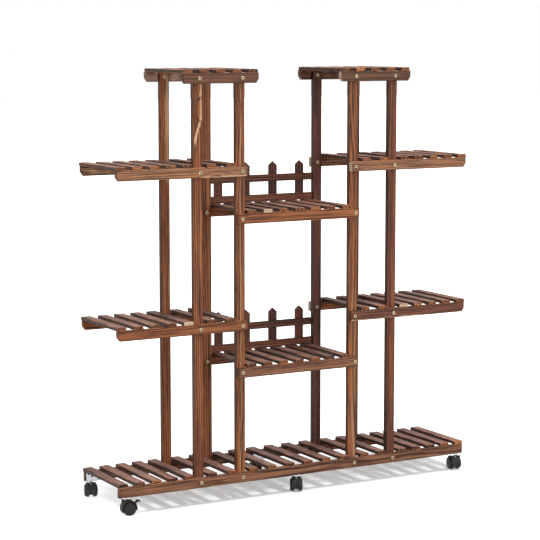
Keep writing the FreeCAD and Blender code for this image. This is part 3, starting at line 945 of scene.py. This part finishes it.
# A dark steel that paints shade: it shows only through the recesses of the domed heads.
PIT_SHADE_STEEL = PlatedFinish("pit_shade_steel", paint(48, 40, 31), paint(34, 26, 18), 0.55)
DARK_STEEL = PlatedFinish("dark_steel", paint(84, 80, 78), paint(52, 46, 42), 0.45, True)
HOOD_PLASTIC = MouldedFinish("hood_plastic", paint(24, 24, 26), paint(62, 62, 65), 0.42, 1500.0, 0.3)
# A lighter copy of the hood plastic, painted light for the back left caster's hood.
LIT_HOOD_PLASTIC = MouldedFinish("lit_hood_plastic", paint(62, 62, 66), paint(100, 100, 104), 0.42, 1500.0, 0.3)
WHEEL_PLASTIC = MouldedFinish("wheel_plastic", paint(20, 20, 22), paint(56, 56, 59), 0.38, 900.0, 0.15)


# Small hardware


@dataclass(frozen=True)
class Mark:
    """Where a head sits and the way it faces."""

    place: Vector
    facing: Vector


def scatter_tree() -> bpy.types.NodeTree:
    """Builds the tree that sets a head on every mark.

    Returns:
        The geometry tree.
    """
    group = Group("heads_on_marks",
                  {"Geometry": ("Marks",), "Object": ("Head",), "Float": ("Radius", "Turn"), "Int": ("Seed",),
                   "Material": ("Finish",)},
                  {"Geometry": ("Heads",)}, "GeometryNodeTree")
    given = group.given
    radius = given["Radius"]
    head = group.out("GeometryNodeObjectInfo", {"Object": given["Head"]}, "Geometry")
    facing = group.out("GeometryNodeInputNamedAttribute", {"Name": "facing"}, data_type="FLOAT_VECTOR")
    spin = group.out("FunctionNodeRandomValue", {2: 0.0, 3: given["Turn"], "Seed": given["Seed"]}, 1,
                     data_type="FLOAT")
    about = group.out("FunctionNodeAxisAngleToRotation", {"Axis": (0.0, 0.0, 1.0), "Angle": spin})
    aim = group.out("FunctionNodeAlignRotationToVector", {"Rotation": about, "Vector": facing}, axis="Z")
    heads = group.out("GeometryNodeInstanceOnPoints",
                      {"Points": given["Marks"], "Instance": head, "Rotation": aim,
                       "Scale": group.join(radius, radius, radius)})
    real = group.out("GeometryNodeRealizeInstances", {0: heads})
    group.put(Heads=group.out("GeometryNodeSetMaterial", {"Geometry": real, "Material": given["Finish"]}))
    return group.tree


@dataclass(frozen=True)
class HeadShape:
    """A round head one unit in radius, as rings from its middle out."""

    name: str
    ring_shares: tuple[float, ...]
    height_shares: tuple[float, ...]
    sides: int
    slot_rings: int = 0
    slot_depth_share: float = 0.0
    rim_shade: float = 0.0

    def template(self) -> bpy.types.Object:
        """Builds the head with its closed underside at Z = 0.

        Returns:
            An object that serves only as the pattern for instances.
        """
        shape = bmesh.new()
        layer = shape.verts.layers.float.new("recess")
        quarter = self.sides // 4
        crown_depth = self.slot_depth_share if self.slot_rings else 0.0
        middle = shape.verts.new((0.0, 0.0, self.height_shares[0] - crown_depth))
        middle[layer] = 1.0 if self.slot_rings else 0.0
        rings = []
        for level, (radius, height) in enumerate(zip(self.ring_shares, self.height_shares[1:])):
            ring = []
            for index in range(self.sides):
                turn = 2 * math.pi * index / self.sides
                sunk = level < self.slot_rings and (level == 0 or index % quarter < 2)
                top = height - (self.slot_depth_share if sunk else 0.0)
                corner = shape.verts.new((radius * math.cos(turn), radius * math.sin(turn), top))
                # The sunk cross is marked for full painted shade, and the outer rings for part of it as a
                # painted shadow ring.
                corner[layer] = 1.0 if sunk else self.rim_shade if level + 2 >= len(self.ring_shares) else 0.0
                ring.append(corner)
            rings.append(ring)
        for index in range(self.sides):
            after = (index + 1) % self.sides
            shape.faces.new((middle, rings[0][index], rings[0][after]))
            for inner, outer in zip(rings, rings[1:]):
                shape.faces.new((inner[index], outer[index], outer[after], inner[after]))
        shape.faces.new(list(reversed(rings[-1])))
        return bpy.data.objects.new(self.name, mesh_of(shape, self.name))


# Screw heads: painted shade in the cross recess and a painted shadow ring at the rim.
SCREW_HEAD = HeadShape("screw_head", (0.3, 0.62, 0.84, 0.96, 1.0), (0.58, 0.57, 0.53, 0.4, 0.2, 0.0), 24, 2,
                       0.14, 0.8)
BRAD_HEAD = HeadShape("brad_head", (0.8, 1.0), (0.3, 0.26, 0.0), 10)


class Hardware:
    """Sets screw heads and brads on marks and keeps them as plain meshes."""

    def __init__(self) -> None:
        """Builds the tree that all the heads share."""
        self.tree = scatter_tree()

    def heads(self, name: str, marks: list[Mark], shape: HeadShape, radius: float, turn: float, slot: str,
              material: bpy.types.Material) -> None:
        """Makes one piece, which rides on the frame, of all the heads on a list of marks.

        Args:
            name: The piece's name.
            marks: Where the heads sit.
            shape: The head's shape.
            radius: The head's radius in metres.
            turn: The most that a head is turned about its axis, in radians.
            slot: Not used.
            material: The finish.
        """
        mesh = bpy.data.meshes.new(name)
        mesh.from_pydata([mark.place for mark in marks], [], [])
        facing = mesh.attributes.new("facing", "FLOAT_VECTOR", "POINT")
        facing.data.foreach_set("vector", [part for mark in marks for part in mark.facing])
        piece = add_object(name, mesh)
        template = shape.template()
        modifier = piece.modifiers.new("heads", "NODES")
        modifier.node_group = self.tree
        values = {"Head": template, "Radius": radius, "Turn": turn, "Seed": len(marks), "Finish": material}
        for item in self.tree.interface.items_tree:
            if item.in_out == "INPUT" and item.name in values:
                modifier[item.identifier] = values[item.name]
        solid = bpy.data.meshes.new_from_object(piece.evaluated_get(bpy.context.evaluated_depsgraph_get()))
        piece.modifiers.clear()
        piece.data = solid
        bpy.data.objects.remove(template)
        shade_smooth(piece)
        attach(piece, "frame")
        LOG.info("set %d heads of %s", len(marks), name)


# Casters


def turned_mesh(name: str, profile: list[tuple[float, float]], sides: int, frame: Matrix) -> bpy.types.Mesh:
    """Turns a profile about Z and places it.

    Args:
        name: The mesh's name.
        profile: Radius and height of each ring, from the axis back to the axis.
        sides: The number of sides.
        frame: The place of the turned shape.

    Returns:
        A closed mesh with its faces outwards.
    """
    shape = bmesh.new()
    turns = [2 * math.pi * index / sides for index in range(sides)]
    rings = []
    for radius, height in profile:
        around = turns if radius else turns[:1]
        rings.append([shape.verts.new((radius * math.cos(turn), radius * math.sin(turn), height))
                      for turn in around])
    for inner, outer in zip(rings, rings[1:]):
        for index in range(sides):
            after = (index + 1) % sides
            corners = [inner[index % len(inner)], outer[index % len(outer)], outer[after % len(outer)],
                       inner[after % len(inner)]]
            shape.faces.new(list(dict.fromkeys(corners)))
    bmesh.ops.transform(shape, matrix=frame, verts=shape.verts)
    bmesh.ops.recalc_face_normals(shape, faces=shape.faces)
    return mesh_of(shape, name)


@dataclass
class Caster:
    """One twin-wheel caster: its moulded hood, wheels, caps and, on two of them, a brake lever."""

    name: str
    nodes: dict[str, bpy.types.Object]
    joints: dict[str, dict[str, Any]]
    cap_rim_inset: float = 0.6 * MILLIMETRE
    cap_rise: float = 0.5 * MILLIMETRE
    groove_width: float = 0.9 * MILLIMETRE
    groove_depth: float = 0.35 * MILLIMETRE
    boss_radius: float = 3.6 * MILLIMETRE
    groove_inset_share: float = 2.2
    groove_slope_share: float = 0.4
    boss_rise_share: float = 1.5
    foot_radius_share: float = 1.25
    foot_rise_share: float = 0.8
    face_tolerance: float = 0.01 * MILLIMETRE
    sides: int = 40

    def cap_profile(self, radius: float) -> list[tuple[float, float]]:
        """Draws a wheel cap with a groove near its rim and a low boss in its middle.

        Args:
            radius: The radius of the wheel's flat face.

        Returns:
            Radius and height of each ring.
        """
        rim = radius - self.cap_rim_inset
        width = self.groove_width
        groove = rim - self.groove_inset_share * width
        rise = self.cap_rise
        low = rise - self.groove_depth
        boss = rise * self.boss_rise_share
        slope = self.groove_slope_share
        return [(0.0, boss), (self.boss_radius, boss),
                (self.boss_radius * self.foot_radius_share, rise * self.foot_rise_share),
                (groove - width, rise), (groove - width * (1 - slope), low), (groove, low),
                (groove + width * slope, rise), (rim - self.cap_rim_inset, rise), (rim, 0.0), (0.0, 0.0)]

    def build_caps(self, material: bpy.types.Material) -> None:
        """Makes the caps on both wheels' outer faces, which ride on the wheels.

        Args:
            material: The caps' finish.
        """
        joint = self.joints["roll_" + self.name]
        centre = Vector(joint["pos_m"])
        axis = Vector(joint["axis"]).normalized()
        mesh = self.nodes["caster_%s_wheels" % self.name].data
        places = np.array([vertex.co for vertex in mesh.vertices]) - np.array(centre)
        reach = places @ np.array(axis)
        outer = reach.max()
        on_face = places[reach > outer - self.face_tolerance]
        flat = np.linalg.norm(on_face - np.outer(on_face @ np.array(axis), axis), axis=1).max()
        joined = bmesh.new()
        for side in (1, -1):
            facing = (axis * side).to_track_quat("Z", "Y").to_matrix().to_4x4()
            frame = Matrix.Translation(centre + axis * side * outer) @ facing
            half = turned_mesh("cap", self.cap_profile(float(flat)), self.sides, frame)
            joined.from_mesh(half)
            bpy.data.meshes.remove(half)
        name = "wheel_caps_" + self.name
        piece = add_object(name, mesh_of(joined, name))
        set_material(piece, material)
        shade_smooth(piece)
        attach(piece, "wheels_" + self.name)

    def dress(self, hood: bpy.types.Material, tread: bpy.types.Material) -> None:
        """Puts the moulded finishes on the caster's nodes.

        Args:
            hood: The hood's and the lever's finish.
            tread: The wheels' finish.
        """
        for part, material in (("hood", hood), ("brake_lever", hood), ("wheels", tread)):
            node = self.nodes.get("caster_%s_%s" % (self.name, part))
            if node:
                set_material(node, material)


# Studio


@dataclass
class Studio:
    """A white floor and world, two soft lamps and the camera, with places and sizes in metres."""

    front: float
    aim_x: float = -0.1041
    aim_ahead: float = 0.0006
    aim_z: float = 0.6835
    azimuth: float = math.radians(-29.632)
    elevation: float = math.radians(7.24)
    distance: float = 5.536
    lens: float = 124.8
    sensor: float = 36.0
    key_from: Triple = (0.03, -0.2, 1.0)
    key_spread: float = math.radians(6.0)
    key_strength: float = 1.5
    fill_place: Triple = (2.2, -4.6, 1.6)
    fill_aim: Triple = (0.0, 0.0, 0.6)
    fill_side: float = 2.4
    fill_power: float = 66.0
    room_left: float = 0.44
    room_right: float = 0.6
    room_above: float = 0.3
    floor_half: float = 30.0
    floor_white: float = 0.74
    floor_bounce: float = 0.16
    floor_glow: float = 0.29
    shade_x: float = 0.06
    shade_half_x: float = 0.5
    shade_half_y: float = 0.14
    shade_fade: float = 0.22

    def camera(self) -> None:
        """Sets the camera at the photograph's angle."""
        level = math.cos(self.elevation)
        back = Vector((math.sin(self.azimuth) * level, -math.cos(self.azimuth) * level,
                       math.sin(self.elevation)))
        data = bpy.data.cameras.new("camera")
        data.lens = self.lens
        data.sensor_width = self.sensor
        target = Vector((self.aim_x, self.front - self.aim_ahead, self.aim_z))
        bpy.context.scene.camera = add_object("camera", data, target + back * self.distance, -back)

    def lamp(self, kind: str, name: str, place: Vector, way: Vector, **settings: Any) -> None:
        """Hangs a soft lamp.

        Args:
            kind: SUN for a far lamp or AREA for a near one.
            name: The lamp's name.
            place: Where it hangs.
            way: The way it shines.
            **settings: Its shape, size and strength.
        """
        data = bpy.data.lights.new(name, kind)
        for setting, value in settings.items():
            setattr(data, setting, value)
        add_object(name, data, place, way)

    def world(self) -> None:
        """Lights the room softly, more from the right than the left, and shows white to the camera."""
        world = bpy.data.worlds.new("studio")
        bpy.context.scene.world = world
        world.use_nodes = True
        graph = Graph(world.node_tree)
        x, _, z = graph.split(graph.node("ShaderNodeTexCoord").outputs["Generated"])
        lit = graph.ramp(x, -0.9, 0.9, self.room_left, self.room_right)
        lit = lit + graph.ramp(z, 0.0, 1.0, 0.0, self.room_above)
        room = graph.out("ShaderNodeBackground", {"Color": WHITE, "Strength": lit})
        white = graph.out("ShaderNodeBackground", {"Color": WHITE, "Strength": 1.0})
        both = graph.out("ShaderNodeMixShader", {0: graph.shown(), 1: room, 2: white})
        graph.node("ShaderNodeOutputWorld", {0: both})

    def floor(self) -> None:
        """Lays a white floor that keeps the stand's shadow and fades to plain white further out."""
        shape = bmesh.new()
        bmesh.ops.create_grid(shape, x_segments=1, y_segments=1, size=self.floor_half)
        made = add_object("floor", mesh_of(shape, "floor"))
        graph = MaterialGraph("floor")
        x, y, _ = graph.split(graph.where["Object"])
        beyond_x = abs(x - self.shade_x) - self.shade_half_x
        beyond_y = abs(y) - self.shade_half_y
        far = graph.ramp(graph.math("MAXIMUM", beyond_x, beyond_y), 0.0, self.shade_fade)
        shown = graph.shown()
        white, dim = [(level, level, level, 1.0) for level in (self.floor_white, self.floor_bounce)]
        matt = graph.out("ShaderNodeBsdfDiffuse", {"Color": graph.mix(shown, dim, white)})
        strength = shown * (self.floor_glow + far * (1.0 - self.floor_glow))
        glow = graph.out("ShaderNodeEmission", {"Color": WHITE, "Strength": strength})
        graph.node("ShaderNodeOutputMaterial", {0: graph.out("ShaderNodeAddShader", {0: matt, 1: glow})})
        set_material(made, graph.material)

    def build(self) -> None:
        """Sets up the whole studio."""
        bpy.context.scene.view_settings.view_transform = "Standard"
        self.world()
        self.floor()
        self.lamp("SUN", "key", Vector(), -Vector(self.key_from), angle=self.key_spread,
                  energy=self.key_strength)
        fill = Vector(self.fill_place)
        self.lamp("AREA", "fill", fill, Vector(self.fill_aim) - fill, shape="SQUARE", size=self.fill_side,
                  energy=self.fill_power)
        self.camera()
        LOG.info("studio ready")


# The whole stand


@dataclass
class PlantStand:
    """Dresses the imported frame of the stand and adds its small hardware."""

    frame: dict[str, Any]
    first_seed: float = 0.37
    seed_step: float = 1.618
    wood_head_radius: float = 5.8 * MILLIMETRE
    wood_head_height: float = 2.2 * MILLIMETRE
    bracket_head_radius: float = 3.8 * MILLIMETRE
    bracket_head_height: float = 1.8 * MILLIMETRE
    brad_radius: float = 1.5 * MILLIMETRE

    def __post_init__(self) -> None:
        """Sorts the frame's nodes and joints by name and builds the wear group."""
        self.nodes: dict[str, bpy.types.Object] = self.frame["nodes"]
        self.joints = {joint["name"]: joint for joint in self.frame["joints"]}
        self.wear = wear_group()

    def batches(self) -> list[Batch]:
        """Lists the timber of the stand.

        Returns:
            One batch for each node of timber.
        """
        made = []
        for index, name in enumerate(sorted(self.nodes)):
            kinds = [traits for start, traits in KINDS.items() if name.startswith(start)]
            if not kinds:
                continue
            batch = Batch(name, self.first_seed + self.seed_step * index)
            for traits in kinds + [CHARACTER.get(name, {})]:
                for trait, value in traits.items():
                    setattr(batch, trait, {**batch.changes, **value} if trait == "changes" else value)
            made.append(batch)
        return made

    def screw_marks(self, node: str, head_height: float, axis: int) -> list[Mark]:
        """Finds the heads of a node's screws.

        Args:
            node: The node of screws.
            head_height: The height of a head above its seat.
            axis: The axis that the screws lie along.

        Returns:
            A mark at each head's seat.
        """
        marks = []
        for block in blocks_of(self.nodes[node], axis):
            outwards = -1.0 if block.centre[axis] < 0 else 1.0
            side = {"wood_screws": -1.0, "fence_screws": outwards}.get(node, -outwards)
            place = block.centre
            place[axis] = (block.high if side > 0 else block.low)[axis] - side * head_height
            facing = Vector((0.0, 0.0, 0.0))
            facing[axis] = side
            marks.append(Mark(place, facing))
        return marks

    def add_screw_heads(self, hardware: Hardware) -> None:
        """Covers every screw's plain head with a domed one that has a cross recess.

        Args:
            hardware: The maker of heads.
        """
        gold = YELLOW_ZINC.make(self.wear)
        marks = self.screw_marks("wood_screws", self.wood_head_height, 1)
        marks += self.screw_marks("fence_screws", self.wood_head_height, 0)
        hardware.heads("wood_screw_heads", marks, SCREW_HEAD, self.wood_head_radius, math.pi / 2,
                       "yellow_zinc", gold)
        marks = self.screw_marks("bracket_screws", self.bracket_head_height, 1)
        hardware.heads("bracket_screw_heads", marks, SCREW_HEAD, self.bracket_head_radius, math.pi / 2,
                       "white_zinc", DARK_STEEL.make(self.wear))

    def add_brads(self, hardware: Hardware) -> None:
        """Nails the slats to their rails and the pickets to theirs.

        Args:
            hardware: The maker of heads.
        """
        marks = []
        for name in sorted(self.nodes):
            if not name.startswith("slats_"):
                continue
            shelf = name.removeprefix("slats_")
            rails = [sum(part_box("rail_%s_%s" % (shelf, side)), Vector()).y / 2 for side in ("front", "back")]
            for block in blocks_of(self.nodes[name]):
                marks += [Mark(Vector((block.centre.x, y, block.high.z)), Vector((0, 0, 1))) for y in rails]
        for level in ("lower", "upper"):
            heights = [block.centre.z for block in blocks_of(self.nodes["fence_rails_" + level], 2)]
            for block in blocks_of(self.nodes["fence_pickets_" + level]):
                marks += [Mark(Vector((block.centre.x, block.high.y, z)), Vector((0, 1, 0))) for z in heights]
        hardware.heads("brads", marks, BRAD_HEAD, self.brad_radius, 0.0, "white_zinc",
                       DARK_STEEL.make(self.wear))

    def build(self) -> None:
        """Dresses every node and adds every piece."""
        shop = TimberShop(self.nodes)
        for batch in self.batches():
            shop.dress(batch)
        # The plain screws under the domed heads are dark, so the recesses show painted shade.
        pit_shade = PIT_SHADE_STEEL.make(self.wear)
        for node in ("wood_screws", "fence_screws", "bracket_screws"):
            set_material(self.nodes[node], pit_shade)
        set_material(self.nodes["caster_brackets"], WHITE_ZINC.make(self.wear))
        set_material(self.nodes["caster_stems"], DULL_ZINC.make(self.wear))
        plastics = (HOOD_PLASTIC, LIT_HOOD_PLASTIC, WHEEL_PLASTIC)
        hood, lit_hood, tread = [plastic.make(self.wear) for plastic in plastics]
        for name in sorted(self.joints):
            if name.startswith("roll_"):
                caster = Caster(name.removeprefix("roll_"), self.nodes, self.joints)
                # The back left caster's hood takes the lighter copy, as painted light.
                caster.dress(lit_hood if caster.name == "back_left" else hood, tread)
                caster.build_caps(tread)
        hardware = Hardware()
        self.add_screw_heads(hardware)
        self.add_brads(hardware)


def main() -> None:
    """Loads the frame, builds the looks and sets up the studio."""
    logging.basicConfig(level=logging.INFO, format="%(name)s: %(message)s")
    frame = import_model()
    PlantStand(frame).build()
    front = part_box("rail_base_front")[0].y
    Studio(front).build()


if __name__ == "__main__":
    main()
